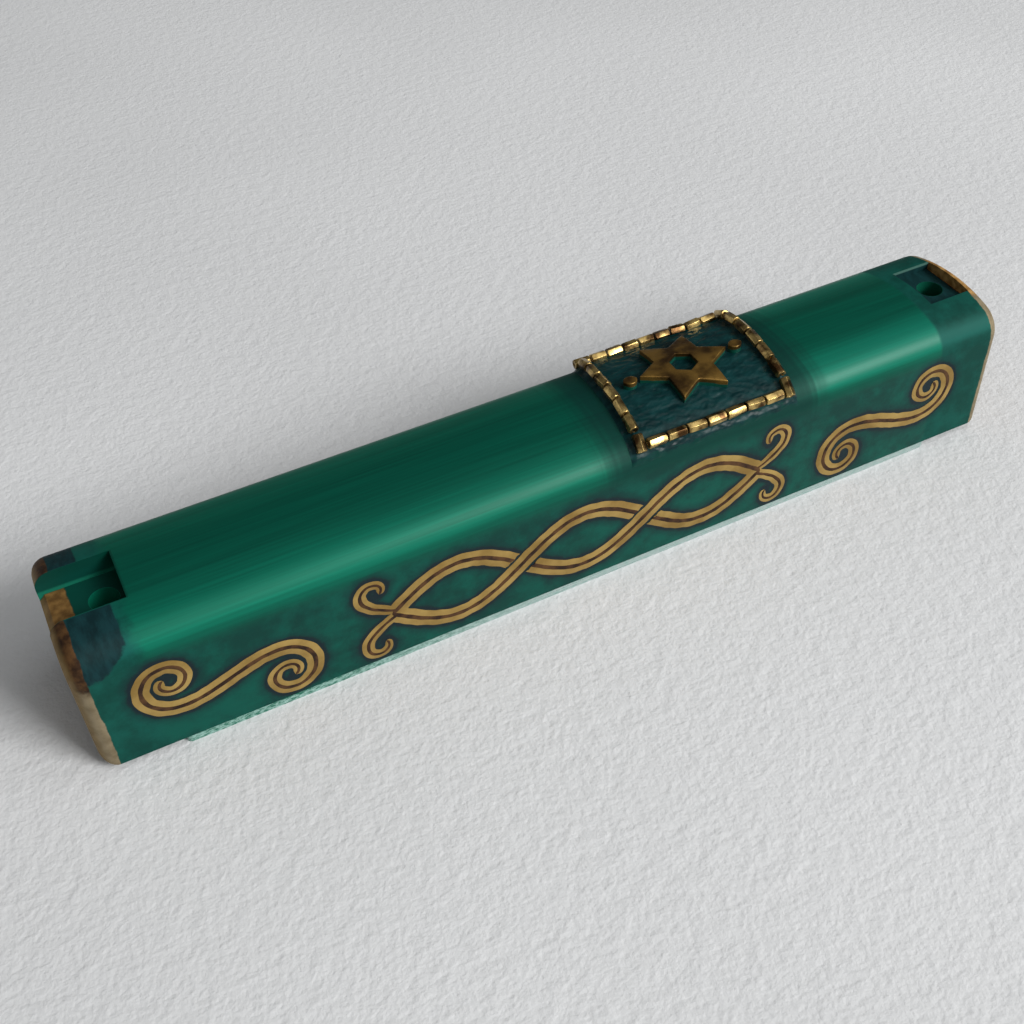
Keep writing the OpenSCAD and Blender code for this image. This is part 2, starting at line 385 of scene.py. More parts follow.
# %% Paths of the strands
MIDDLE_Z, STEP = 7.9, 0.2
SCROLL_X, SCROLL_HEADING = (-45.6, 44.2), 22
SCROLL_BENDS = [
    (5.9, 0.0, -0.14), (7.6, -0.22, -0.31), (8.1, -0.31, -0.56), (4.1, -0.56, -1.06),
]
TWIST_X, SWING, HALF_WAVES = (-26.2, 24.4), 4.2, 3
CURL_BENDS = [(4.4, 0.02, 0.18), (6.4, 0.38, 1.05)]
CURL_HEADING, CURL_INSET, CURL_RISE = 25, 0.6, 0.35


def walk(start, heading, bends, hand):
    """Points x, z along bends of length and of turn per millimetre, first and last."""
    (x, z), angle, path = start, math.radians(heading), [start]
    for length, first, last in bends:
        first, last = first * hand, last * hand
        count = round(length / STEP)
        for k in range(count):
            turn = (first + (last - first) * (k + 0.5) / count) * length / count
            angle += turn / 2
            x += math.cos(angle) * length / count
            z += math.sin(angle) * length / count
            angle += turn / 2
            path.append((x, z))
    return np.array(path)


def s_scroll(x, hand):
    """An S about a middle point, with a volute at each end."""
    half = walk((x, MIDDLE_Z), SCROLL_HEADING * hand, SCROLL_BENDS, hand)
    other = 2 * np.array([x, MIDDLE_Z]) - half
    return np.concatenate([other[::-1], half[1:]])


def twist_strand(side, start, end):
    """Part of one strand of the twist, from 0 to 1 along it."""
    length = TWIST_X[1] - TWIST_X[0]
    t = np.linspace(start, end, round((end - start) * length / STEP))
    z = MIDDLE_Z + side * SWING * np.sin(HALF_WAVES * math.pi * t)
    return np.column_stack([TWIST_X[0] + length * t, z])


def curl(side, up):
    """A tendril that leaves a tip of the twist and rolls up."""
    x = TWIST_X[0] + CURL_INSET if side < 0 else TWIST_X[1] - CURL_INSET
    heading = 180 - CURL_HEADING * up if side < 0 else CURL_HEADING * up
    return walk((x, MIDDLE_Z + CURL_RISE * up), heading, CURL_BENDS, side * up)


strands = {
    "lower_scroll": s_scroll(SCROLL_X[0], 1),
    "upper_scroll": s_scroll(SCROLL_X[1], -1),
    "twist_a1": twist_strand(1, 0, 1 / 3),
    "twist_a2": twist_strand(1, 1 / 3, 1),
    "twist_b1": twist_strand(-1, 0, 2 / 3),
    "twist_b2": twist_strand(-1, 2 / 3, 1),
    "curl_1": curl(-1, 1),
    "curl_2": curl(-1, -1),
    "curl_3": curl(1, 1),
    "curl_4": curl(1, -1),
}
print("strands", {name: len(path) for name, path in strands.items()})

# %% [markdown]
# ## Bands of thick paint
# Craft paint from a bottle stands up a little, so each band is a real film, 0.1 mm thick. It is a
# grid along the path, with seven lanes across it. The lanes wobble as a hand does, and the film is
# lowest at its rims. Where two strands cross, the lanes of the lower one stop short of the other.

# %% Widths and crossings
SCROLL_TIP, SCROLL_SWELL, CURL_TIP, CURL_SWELL, TAPER = 1.1, 1.2, 0.85, 0.75, 0.7
TWIST_W, CROSSING_GAP = 2.35, 0.32
UNDER = {"twist_a1": "end", "twist_a2": "start", "twist_b1": "end", "twist_b2": "start"}
strand_a, strand_b = twist_strand(1, 0, 1), twist_strand(-1, 0, 1)


def band_width(name, t):
    """Width of a strand's gold band, from 0 to 1 along it. Scrolls thin out to their volutes."""
    if "scroll" in name:
        return SCROLL_TIP + SCROLL_SWELL * np.sin(math.pi * t) ** TAPER
    if "curl" in name:
        return CURL_TIP + CURL_SWELL * np.sin(math.pi * np.clip(0.9 * t + 0.12, 0, 1)) ** TAPER
    return np.full_like(t, TWIST_W)


def measure(path):
    """Runs along a path, and the direction across it at each point."""
    run = np.concatenate([[0], np.cumsum(np.linalg.norm(np.diff(path, axis=0), axis=1))])
    ahead = np.gradient(path, axis=0)
    ahead /= np.linalg.norm(ahead, axis=1)[:, None]
    return run, np.column_stack([-ahead[:, 1], ahead[:, 0]])


def lane_span(name, lane):
    """First and last point of a lane, which stops short where it goes under another strand."""
    first, last = 0, len(lane) - 1
    if name in UNDER:
        over = strand_b if "_a" in name else strand_a
        gap = np.linalg.norm(lane[:, None, :] - over[None], axis=2).min(axis=1)
        clear_points = np.where(gap > TWIST_W / 2 + CROSSING_GAP)[0]
        if UNDER[name] == "end":
            last = clear_points[-1]
        else:
            first = clear_points[0]
    return first, last


def round_ends(name, run, half):
    """Half widths that close in a half circle at each end that doesn't go under."""
    to_end = np.minimum(run, run[-1] - run)
    if UNDER.get(name) == "end":
        to_end = run
    if UNDER.get(name) == "start":
        to_end = run[-1] - run
    return half * np.sqrt(np.clip(1 - (1 - np.clip(to_end / half, 0.03, 1)) ** 2, 0, 1))


print("crossings", len(UNDER) // 2)

# %% Lay the bands on both sides
LANES, FILM, RIM_DROP, WOBBLE_SCALE = 7, 0.1, 0.8, (0.9, 0.9, 1)
GOLD_LIFT, GOLD_WOBBLE = 0.06, 0.22
LINE_LIFT, LINE_WOBBLE, LINE_TIP, LINE_SHARE = 0.085, 0.2, 0.14, 0.28


def band(name, strand, widths, lift, wobble, side):
    """A low ridge of paint along a strand on one side of the case, closed at the back."""
    path = strands[strand]
    count = len(path)
    run, across = measure(path)
    half = round_ends(strand, run, widths / 2)
    places = []
    for lane in np.linspace(-1, 1, LANES):
        spots = np.column_stack([path, np.full(count, 3.0 * np.sign(lane))])
        wave = ripple(spots, WOBBLE_SCALE, len(strand))
        offset = lane * half * (1 + wobble * wave / np.maximum(widths, 0.4))
        flat = path + across * offset[:, None]
        first, last = lane_span(strand, flat)
        rows = np.linspace(first, last, count)
        x, z = (np.interp(rows, np.arange(count), flat[:, k]) for k in (0, 1))
        height = np.full(count, HALF_W + lift * (1 - RIM_DROP * lane**4))
        places.append(np.column_stack([x, side * height, z]))
    piece = bent_sheet(name, np.array(places).transpose(1, 0, 2))
    face_towards(piece, (0, side, 0))
    thicken(piece, FILM)
    smooth(piece, degrees=60)
    return piece


gold_bands, core_lines = [], []
for strand, path in strands.items():
    gold_w = band_width(strand, np.linspace(0, 1, len(path)))
    line_w = LINE_TIP + LINE_SHARE * gold_w
    for side, hand in ((-1, "near"), (1, "far")):
        gold_name, line_name = f"gold_band_{strand}_{hand}", f"core_line_{strand}_{hand}"
        gold_bands.append(band(gold_name, strand, gold_w, GOLD_LIFT, GOLD_WOBBLE, side))
        core_lines.append(band(line_name, strand, line_w, LINE_LIFT, LINE_WOBBLE, side))
print("bands", len(gold_bands), "lines", len(core_lines))

# %% [markdown]
# ## Where the paint is darker
# The painter shaded the green around every gold band. The shell stores, at each of its points,
# how far it is from the nearest band. Its material later turns that distance into a soft dark edge.

# %% Distance from the gold
FAR_AWAY, SIDE_DEPTH, CHUNK = 9.0, 0.05, 40


def gold_distance(piece):
    places = get_points(piece)
    on_sides = np.where(np.abs(places[:, 1]) > HALF_W - SIDE_DEPTH)[0]
    flat = places[on_sides][:, [0, 2]]
    nearest = np.full(len(on_sides), FAR_AWAY)
    for name, path in strands.items():
        half = band_width(name, np.linspace(0, 1, len(path))) / 2
        for start in range(0, len(path), CHUNK):
            part = path[start:start + CHUNK]
            gap = np.linalg.norm(flat[:, None, :] - part[None], axis=2)
            nearest = np.minimum(nearest, (gap - half[start:start + CHUNK]).min(axis=1))
    values = np.full(len(places), FAR_AWAY)
    values[on_sides] = nearest
    return values


store(shell, "gold_distance", gold_distance(shell))
print("points on both sides are measured")

# %% [markdown]
# ## The emblem
# A star of two triangles stands 1.2 mm proud of the crown, with a small leaf on each side. The
# moulding has soft edges, so the flat parts are joined, turned into one skin with a voxel
# remesh, and smoothed. A bevel would trip over the many crossings of the two triangles. Only
# then is the flat emblem bent over the crown.

# %% Flat parts of the emblem
FRAME_X, STAR_R, STROKE = 18.25, 6.2, 1.5
LEAF_L, LEAF_W, LEAF_GAP, LEAF_POINTS = 1.9, 1.5, 0.4, 13
SUNK, PROUD = -0.5, 1.24


def raise_up(piece):
    edit(piece)
    bpy.ops.mesh.extrude_region_move(TRANSFORM_OT_translate={"value": (0, 0, (PROUD - SUNK) * MM)})
    bpy.ops.mesh.select_all(action="SELECT")
    bpy.ops.mesh.normals_make_consistent(inside=False)
    leave_edit()


def triangle(turn):
    clear_selection()
    bpy.ops.mesh.primitive_circle_add(vertices=3, radius=STAR_R * MM, fill_type="NGON")
    piece = new_piece("star_part")
    corners = [math.radians(turn + 120 * k) for k in range(3)]
    set_points(piece, [(STAR_R * math.cos(a), STAR_R * math.sin(a), SUNK) for a in corners])
    edit(piece)
    bpy.ops.mesh.inset(thickness=STROKE * MM)
    bpy.ops.mesh.delete(type="FACE")
    leave_edit()
    raise_up(piece)
    return piece


def leaf(side):
    arc = (LEAF_L**2 + LEAF_W**2) / (4 * LEAF_W)
    x = np.linspace(-LEAF_L / 2, LEAF_L / 2, LEAF_POINTS)
    y = np.sqrt(arc**2 - x**2) - (arc - LEAF_W / 2)
    outline = list(zip(x, y)) + list(zip(x[::-1], -y[::-1]))[1:-1]
    clear_selection()
    bpy.ops.mesh.primitive_circle_add(vertices=len(outline), fill_type="NGON")
    piece = new_piece("leaf_part")
    middle = side * (STAR_R + LEAF_GAP + LEAF_L / 2)
    set_points(piece, [(middle + a, b, SUNK) for a, b in outline])
    raise_up(piece)
    return piece


# %% One soft skin, bent over the crown
VOXEL, SOFTEN, SOFTEN_ROUNDS = 0.1, 0.5, 5
parts = [triangle(0), triangle(180), leaf(-1), leaf(1)]
clear_selection()
for part in parts:
    part.select_set(True)
bpy.context.view_layer.objects.active = parts[0]
bpy.ops.object.join()
emblem = new_piece("emblem")
emblem.data.remesh_voxel_size = VOXEL * MM
bpy.ops.object.voxel_remesh()
softer = emblem.modifiers.new("softer", "SMOOTH")
softer.factor, softer.iterations = SOFTEN, SOFTEN_ROUNDS
apply_modifiers(emblem)
flat = get_points(emblem)
store(emblem, "height", flat[:, 2])
crown = CROWN_Z + np.sqrt(CROWN_R**2 - flat[:, 1] ** 2)
set_points(emblem, np.column_stack([FRAME_X + flat[:, 0], flat[:, 1], crown + flat[:, 2]]))
pick(emblem)
bpy.ops.object.shade_smooth()
print("emblem faces", len(emblem.data.polygons))

# %% [markdown]
# ## The panel ground
# The beads are bedded in thick dark paint. Its brush ridges catch the light, so they are real
# relief: a grid is laid over the crown and raised by stretched noise. Its edges run out unevenly.
# Under the rows of beads the paint is pressed up into a low bed, which also fills the gaps that
# would let daylight through.

# %% Height of the thick paint
FRAME_L, SKEW, ROW_Y, MARGIN = 21.0, 1.5, 8.762, 1.3
GROUND_TURN, ROW_TURN = 71.5, 42.0
BED_H, BED_W = 0.45, 0.45
FEATHER, LOWEST, HIGHEST = 0.7, 0.015, 0.34
ground_half, ground_run = FRAME_L / 2 + MARGIN, run_at(GROUND_TURN)
runs = np.linspace(-ground_run, ground_run, 141)
along = np.linspace(-ground_half, ground_half, 161)
U, V = np.meshgrid(along, runs, indexing="ij")
flat = np.column_stack([U.ravel(), V.ravel(), np.zeros(U.size)])
far_u, far_v = np.abs(flat[:, 0]), np.abs(flat[:, 1])
broad, narrow = ripple(flat, (0.5, 0.9, 1), 3.0), ripple(flat, (1.1, 2.1, 1), 8.0)
dabs = np.abs(broad) * 0.6 + np.abs(narrow) * 0.4
knots = ripple(flat, (2.3, 3.4, 1), 21.0)
to_edge = np.minimum(ground_half - far_u, ground_run - far_v)
body_h = np.clip((to_edge + 0.35 * ripple(flat, (1.1, 1.1, 1), 40.0)) / FEATHER, 0, 1)
brushed_h = 0.15 + 0.28 * (0.32 - dabs) + 0.02 * knots
lift = np.clip(0.02 + body_h * brushed_h, LOWEST, HIGHEST)
to_row = np.minimum(FRAME_L / 2 - far_u, run_at(ROW_TURN) - far_v)
lift += BED_H * (0.85 + 0.25 * knots) * np.exp(-((to_row / BED_W) ** 2)) * body_h
print("paint is up to", round(lift.max(), 2), "mm high")

# %% Lay the thick paint over the crown
GROUND_FILM = 0.12
ground_y, ground_z = front_line(turn_at(flat[:, 1]), lift)
ground_x = FRAME_X + flat[:, 0] + SKEW * ground_y / (2 * ROW_Y)
places = np.column_stack([ground_x, ground_y, ground_z])
ground = bent_sheet("panel_paint", places.reshape(*U.shape, 3))
edit(ground)
bpy.ops.mesh.normals_make_consistent(inside=False)
leave_edit()
face_towards(ground, (0, 0, 1))
store(ground, "to_edge", to_edge)
thicken(ground, GROUND_FILM)
smooth(ground, degrees=50)
print("panel paint faces", len(ground.data.polygons))

# %% [markdown]
# ## The beads
# Thirty six-sided metal beads frame the panel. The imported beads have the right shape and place,
# but their edges are knife-sharp. A copy of each is merged, its flat faces are cleaned, and its
# edges get a small round. A slow random swell and a small tilt then make each one a little
# different.

# %% Soften a copy of every bead
BEAD_MERGE, BEAD_FLAT, BEAD_ROUND, BEAD_EDGE = 0.002, 4, 0.075, 24
SHRINK, SWELL, SWELL_SCALE, SEED_STEP = 0.955, 0.035, (0.8, 0.8, 0.8), 5.7
TILT = 3.5
askew = np.random.default_rng(30)


def soft_bead(node, seed):
    piece = bpy.data.objects.new(f"metal_{node}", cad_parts[node].data.copy())
    piece.data.name = piece.name
    bpy.context.scene.collection.objects.link(piece)
    piece.data.materials.clear()
    edit(piece)
    bpy.ops.mesh.remove_doubles(threshold=BEAD_MERGE * MM)
    bpy.ops.mesh.dissolve_limited(angle_limit=math.radians(BEAD_FLAT))
    leave_edit()
    bevel = piece.modifiers.new("round", "BEVEL")
    bevel.width, bevel.segments = BEAD_ROUND * MM, 2
    bevel.limit_method, bevel.angle_limit = "ANGLE", math.radians(BEAD_EDGE)
    apply_modifiers(piece)
    places = get_points(piece)
    middle = (places.min(axis=0) + places.max(axis=0)) / 2
    swell = SHRINK + SWELL * ripple(places, SWELL_SCALE, seed * SEED_STEP)
    tilt = Euler([math.radians(a) for a in askew.uniform(-TILT, TILT, 3)]).to_matrix()
    set_points(piece, middle + (places - middle) * swell[:, None] @ np.array(tilt).T)
    smooth(piece, degrees=40)
    return piece


bead_nodes = sorted(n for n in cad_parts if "_bead_" in n)
beads = {node: soft_bead(node, k) for k, node in enumerate(bead_nodes)}
print("beads", len(beads), "faces", sum(len(b.data.polygons) for b in beads.values()))

# %% [markdown]
# ## Finishes
# A finish is a small network of nodes. The helper below adds nodes by name and plugs sockets
# together. Patterns read Object coordinates, so they stay on the piece wherever it goes, and a
# pattern is stretched by giving it other scales along and across the case. A mask is a number
# from 0 to 1 that says where a coat lies.

# %% Colours and sockets
def paint(red, green, blue):
    """A colour as it looks on a screen, from 0 to 255, turned into the light a shader mixes."""
    def light(v):
        v /= 255
        return v / 12.92 if v <= 0.04045 else ((v + 0.055) / 1.055) ** 2.4
    return (light(red), light(green), light(blue), 1.0)


class Nodes:
    def __init__(self, name):
        self.material = bpy.data.materials.new(name)
        self.material.use_nodes = True
        self.tree = self.material.node_tree
        self.shader = self.tree.nodes["Principled BSDF"]
        self.place = self.add("ShaderNodeTexCoord").outputs["Object"]

    def add(self, kind, sockets=None, **settings):
        node = self.tree.nodes.new(kind)
        for key, value in settings.items():
            setattr(node, key, value)
        for key, value in (sockets or {}).items():
            self.plug(node.inputs[key], value)
        return node

    def plug(self, socket, value):
        if isinstance(value, bpy.types.NodeSocket):
            self.tree.links.new(value, socket)
        else:
            socket.default_value = value

    def shade(self, **sockets):
        for key, value in sockets.items():
            self.plug(self.shader.inputs[key.replace("_", " ")], value)

    def dress(self, *pieces):
        for piece in pieces:
            piece.data.materials.clear()
            piece.data.materials.append(self.material)


# %% Sums, masks, patterns and coats
class Finish(Nodes):
    def math(self, operation, a, b=0.0):
        return self.add("ShaderNodeMath", {0: a, 1: b}, operation=operation).outputs[0]

    def plus(self, a, b):
        return self.math("ADD", a, b)

    def minus(self, a, b):
        return self.math("SUBTRACT", a, b)

    def times(self, a, b):
        return self.math("MULTIPLY", a, b)

    def size(self, a):
        return self.math("ABSOLUTE", a)

    def both(self, first, *masks):
        for mask in masks:
            first = self.math("MULTIPLY", first, mask)
        return first

    def either(self, first, *masks):
        for mask in masks:
            first = self.math("MAXIMUM", first, mask)
        return first

    def outside(self, mask):
        return self.minus(1.0, mask)

    def step(self, value, low, high):
        """0 at low and 1 at high, smooth between."""
        sockets = {"Value": value, "From Min": low, "From Max": high}
        return self.add("ShaderNodeMapRange", sockets, interpolation_type="SMOOTHSTEP").outputs[0]

    def axes(self):
        """Places along X, Y and Z in millimetres."""
        split = self.add("ShaderNodeSeparateXYZ", {0: self.place})
        return [self.times(split.outputs[k], 1000) for k in range(3)]

    def noise(self, scale, detail=3.0, roughness=0.5):
        """Noise with a number of waves per metre, the same all ways or one for each axis."""
        scale = scale if isinstance(scale, tuple) else (scale, scale, scale)
        turned = self.add("ShaderNodeMapping", {"Vector": self.place, "Scale": scale}).outputs[0]
        sockets = {"Vector": turned, "Scale": 1.0, "Detail": detail, "Roughness": roughness}
        return self.add("ShaderNodeTexNoise", sockets).outputs[0]

    def stored(self, name):
        return self.add("ShaderNodeAttribute", attribute_name=name).outputs["Fac"]

    def mix(self, share, a, b):
        return self.add("ShaderNodeMix", {0: share, 6: a, 7: b}, data_type="RGBA").outputs[2]

    def mix_number(self, share, a, b):
        return self.add("ShaderNodeMix", {0: share, 2: a, 3: b}).outputs[0]

    def mottled(self, pattern, low, high, dark, light):
        """One colour where a pattern is low, and another where it is high."""
        return self.mix(self.step(pattern, low, high), paint(*dark), paint(*light))

    def coat(self, under, mask, colour, share=1.0):
        """A colour over another, where a mask is. A share below 1 lets the other show through."""
        return self.mix(mask if share == 1.0 else self.times(mask, share), under, colour)

    def bump(self, height, depth):
        sockets = {"Height": height, "Distance": depth * MM, "Strength": 1.0}
        return self.add("ShaderNodeBump", sockets).outputs[0]


# %% [markdown]
# ## Paper
# The sheet under the case is heavy drawing paper. Two sizes of noise make its tooth, as bump.
# Real relief would take millions of faces, and the sheet is only a stage.

# %% Paper finish
paper = Finish("drawing_paper")
fibre = paper.times(paper.noise(1500, 3), 0.55)
tooth = paper.plus(paper.noise(520, 4), fibre)
paper.shade(
    Base_Color=paper.mottled(paper.noise(9, 2), 0.3, 0.7, (208, 209, 210), (215, 216, 217)),
    Roughness=0.9,
    Specular_IOR_Level=0.05,
    Normal=paper.bump(tooth, 0.2),
)
paper.dress(floor)
print("paper is ready")

# %% [markdown]
# ## Emerald paint
# The housing is clear plastic under thin green paint. Long streaks of the brush run along it. The
# shoulders are coloured lighter as a painted glow and a painted highlight, for daylight that shines
# through the thin paint and gleams on it. The green over the scroll space is lighter than on the
# solid end blocks, and the flat sides are darker. Separate materials would meet in hard lines, so
# one network mixes all of these by place.

# %% Patterns of the brush
case = Finish("emerald_paint")
x, y, z = case.axes()
far_x, far_y = case.size(x), case.size(y)
streaks = case.noise((14, 620, 620), 5, 0.6)
fine = case.noise((50, 3000, 3000), 3)
cloud = case.noise(95, 3)
hoops = case.noise((1500, 40, 40), 4)
grit = case.noise(900, 4)
swipe = case.minus(case.noise(500, 5, 0.65), 0.5)
tone = case.plus(case.times(streaks, 0.5), case.times(fine, 0.5))
patchy = case.plus(cloud, swipe)
print("patterns are ready")

# %% Green over the scroll space
crown_green = case.mottled(tone, 0.22, 0.78, (0, 58, 46), (0, 78, 61))
# The lighter shoulder greens are a painted glow and a painted highlight, for daylight through the
# thin paint.
shoulder_glow_green = case.mottled(tone, 0.25, 0.75, (0, 78, 61), (0, 100, 79))
painted_highlight_green = case.mottled(tone, 0.25, 0.75, (0, 100, 78), (6, 126, 100))
shoulder = case.both(case.step(far_y, 3.0, 8.3), case.step(z, 14.2, 17.4))
green = case.coat(crown_green, shoulder, shoulder_glow_green)
# The ridge band carries a painted highlight along the shoulder, stronger towards the upper end.
ridge = case.both(case.step(z, 16.2, 17.2), case.step(z, 18.8, 17.8))
highlight_strength = case.mix_number(case.step(x, -55, -10), 0.45, 0.85)
green = case.coat(green, case.both(ridge, highlight_strength), painted_highlight_green)
# Past the panel a further painted highlight lies on the shoulder.
past_panel = case.both(case.step(x, 27, 34), shoulder, case.step(z, 16.2, 17.4))
green = case.coat(green, past_panel, paint(4, 120, 98), 0.45)
side_green = case.mottled(patchy, 0.25, 0.75, (0, 54, 47), (0, 76, 64))
green = case.coat(green, case.step(z, 16.6, 13.6), side_green)
print("greens are mixed")

# %% Green on the solid end blocks
block_green = case.mottled(patchy, 0.25, 0.75, (0, 58, 50), (6, 76, 66))
# A lighter teal along the block's shoulder is a painted highlight.
block_green = case.coat(block_green, ridge, paint(6, 88, 78), 0.8)
# The green over the scroll space is lighter partly as a painted glow of light through the hollow,
# and partly because the end blocks have a darker paint.
uneven_x = case.plus(x, case.times(swipe, 3.0))
over_space = case.both(case.step(uneven_x, -55.0, -53.0), case.step(x, 52.1, 51.5))
green = case.coat(block_green, over_space, green)
print("end blocks are green")

# %% [markdown]
# ## Darker strokes
# The painter went round the case beside the panel with a dark brush, and drew a dark edge along
# every gold band. The hoops are noise that is stretched round the case. The edges come from the
# distance that the shell has stored, in three steps from soft to sharp.

# %% Dark paint beside the panel and around the gold
PANEL_MIDDLE = 17.75
from_panel = case.size(case.minus(x, PANEL_MIDDLE))
ragged = case.times(case.minus(hoops, 0.5), 4.0)
banded = case.step(case.plus(from_panel, ragged), 17.4, 12.5)
banded = case.both(banded, case.step(z, 13.0, 16.5))
green = case.coat(green, banded, paint(0, 40, 37), 0.8)
from_gold = case.plus(case.stored("gold_distance"), case.times(swipe, 1.1))
green = case.coat(green, case.step(from_gold, 1.9, 0.5), paint(8, 46, 45), 0.65)
green = case.coat(green, case.step(from_gold, 0.8, 0.3), paint(18, 32, 34), 0.7)
green = case.coat(green, case.step(from_gold, 0.55, 0.25), paint(16, 32, 38), 0.9)
print("dark strokes are on")

# %% [markdown]
# ## Slate paint and the recesses
# A patch of slate blue covers the lower end block beside its notch, and the floor and walls of the
# upper pocket are coloured slate too, which makes the pocket darker. Inside the notch a darker
# green is painted shade, light lines on the recesses' edges are painted highlights, and a lighter
# green in the nail holes is a painted glow. Each is a mask made of steps along the axes, from the
# same sizes that cut the recesses.

# %% Slate paint on the lower end block and in the upper pocket
block_end = case.mix_number(case.step(y, 0, 1), -54.8, -56.6)
past_end = case.minus(case.plus(x, case.times(swipe, 0.7)), block_end)
slope = case.times(case.math("MAXIMUM", case.plus(x, 58), 0.0), -0.75)
above = case.plus(case.plus(z, slope), case.times(swipe, 2.4))
on_block = case.both(
    case.step(past_end, 0.15, -0.1),
    case.step(above, 14.8, 15.3),
    case.step(far_y, RECESS + 0.03, RECESS + 0.15),
)
brushed = case.noise((1400, 500, 500), 5, 0.6)
slate = case.mottled(brushed, 0.3, 0.7, (3, 25, 31), (12, 45, 50))
green = case.coat(green, on_block, slate, 0.92)
between_walls = case.step(far_y, RECESS + 0.05, RECESS + 0.01)
# The pocket's floor and walls are coloured slate, which makes the pocket darker.
in_pocket = case.both(
    case.step(x, POCKET_X[0] - 0.2, POCKET_X[0] - 0.05), between_walls, case.step(z, 18.2, 18.4)
)
green = case.coat(green, in_pocket, slate, 0.85)
print("slate is on")

# %% Edges and walls of the recesses
wall = case.both(between_walls, case.step(far_y, RECESS - 0.08, RECESS - 0.02))
# A light line along the pocket's far top edge is a painted highlight.
painted_edge_gleam = case.both(
    case.step(y, RECESS + 0.22, RECESS + 0.14), case.step(y, RECESS - 0.04, RECESS),
    case.step(x, 53.8, 54.0), case.step(z, 19.2, 19.4),
)
green = case.coat(green, painted_edge_gleam, paint(92, 134, 122), 0.6)
# A darker green inside the notch is painted shade.
in_notch = case.both(
    case.step(far_y, RECESS + 0.06, RECESS),
    case.step(x, NOTCH_X + 0.3, NOTCH_X + 0.1), case.step(z, 16.4, 16.6),
)
green = case.coat(green, in_notch, paint(0, 46, 36), 0.7)
# A lighter green at the foot of the notch's walls is a painted highlight.
wall_foot = case.both(case.step(x, NOTCH_X + 0.2, NOTCH_X), wall, case.step(z, 17.3, 16.9))
green = case.coat(green, wall_foot, paint(24, 116, 92), 0.65)
print("recesses are painted")

# %% Nail holes
NAIL_MIDDLE, NAIL_REACH = (UPPER_NAIL_X + LOWER_NAIL_X) / 2, (UPPER_NAIL_X - LOWER_NAIL_X) / 2
from_nail = case.minus(case.size(case.minus(x, NAIL_MIDDLE)), NAIL_REACH)
off_axis = case.math("SQRT", case.plus(case.times(from_nail, from_nail), case.times(y, y)))
in_bore = case.step(off_axis, NAIL_R + 0.04, NAIL_R + 0.01)
# The lighter green in the nail holes is a painted glow, for light that shines through the plastic.
bore_glow_green = case.mix(case.step(x, 0, 1), paint(4, 104, 81), paint(2, 74, 56))
green = case.coat(green, in_bore, bore_glow_green)
print("nail holes are painted")

# %% [markdown]
# ## Gilded ends
# The ends were gilded by hand, so the edge of the gold wavers. Its tone is brown near the crown,
# pale lower down and warm in the notch. A light gold on the pocket's rim is painted light, and a
# pale gold along the upper end's shoulders is a painted highlight. The masks waver because the same
# noise as in the brush strokes is added to the place along the case.

# %% Where the gold lies
reach = case.plus(far_x, case.times(swipe, 0.6))
reach = case.plus(reach, case.minus(cloud, 0.5))
bare_wall = case.both(wall, case.step(x, 60.0, 59.9), case.step(z, 13.5, 14.0))
on_end = case.both(case.step(reach, 59.7, 59.82), case.outside(bare_wall))
on_rim = case.both(case.step(x, 59.8, 59.88), case.step(far_y, 5.2, 4.2), case.step(z, 17.9, 18.4))
on_notch = case.both(
    case.step(reach, 58.7, 58.9), case.step(x, -50, -52),
    case.step(far_y, RECESS - 0.04, RECESS - 0.12), case.step(z, 17.6, 17.2),
)
gilt = case.either(on_end, on_rim, on_notch)
lower_down = case.step(case.plus(z, case.times(swipe, 4.0)), 14.5, 12.5)
print("gold has its edges")

# %% Tones of the gold
brown = case.mottled(grit, 0.3, 0.7, (44, 29, 19), (88, 62, 36))
pale = case.mottled(grit, 0.2, 0.8, (116, 103, 79), (144, 131, 105))
warm = case.mottled(grit, 0.3, 0.7, (94, 68, 36), (136, 103, 58))
# A light gold on the pocket's rim is painted light, on a wall that faces away from the window.
rim_painted_light = case.mottled(grit, 0.3, 0.7, (130, 94, 46), (190, 150, 92))
rubbed = case.mottled(case.noise(800, 3, 0.5), 0.3, 0.7, (122, 100, 60), (144, 121, 78))
gold = case.coat(brown, lower_down, pale)
# A pale gold along the upper end's shoulders is a painted highlight.
gold = case.coat(gold, case.both(case.step(x, 0, 1), case.step(far_y, 4.0, 5.5)), pale)
gold = case.coat(gold, on_notch, warm)
gold = case.coat(gold, on_rim, rim_painted_light)
gold = case.coat(gold, case.step(far_x, 60.6, 61.5), rubbed)
print("gold has its tones")

# %% [markdown]
# ## Gloss and brush relief
# Thin paint on plastic shines, more so towards the upper end, and thick paint is matt. The relief
# is far too small for faces, so it is bump: fine lines everywhere, and swipes where paint is thick.

# %% Put the emerald finish together
fine_relief = case.plus(case.times(fine, 0.5), case.times(grit, 0.5))
evened = case.outside(case.times(lower_down, 0.75))
thick = case.either(on_block, case.both(gilt, evened))
thick = case.plus(thick, case.times(banded, 0.25))
relief = case.plus(fine_relief, case.both(thick, case.times(swipe, 7.0)))
rough = case.mix_number(tone, 0.31, 0.43)
rough = case.plus(rough, case.times(case.step(x, 30, -35), 0.08))
matt = case.either(gilt, banded, on_block, case.outside(over_space))
case.shade(
    Base_Color=case.coat(green, gilt, gold),
    Metallic=case.times(gilt, 0.3),
    Roughness=case.mix_number(matt, rough, 0.6),
    Normal=case.bump(relief, 0.014),
    IOR=1.5,
    Specular_IOR_Level=0.14,
)
case.dress(shell)
print("emerald paint is on the shell")

# %% [markdown]
# ## Gold paint and its dark core line
# The ornament's gold is a matt craft paint with a little shimmer. The line along its middle is
# dark brown ink. A full metal would mirror the room, so the gold is only a quarter metallic.

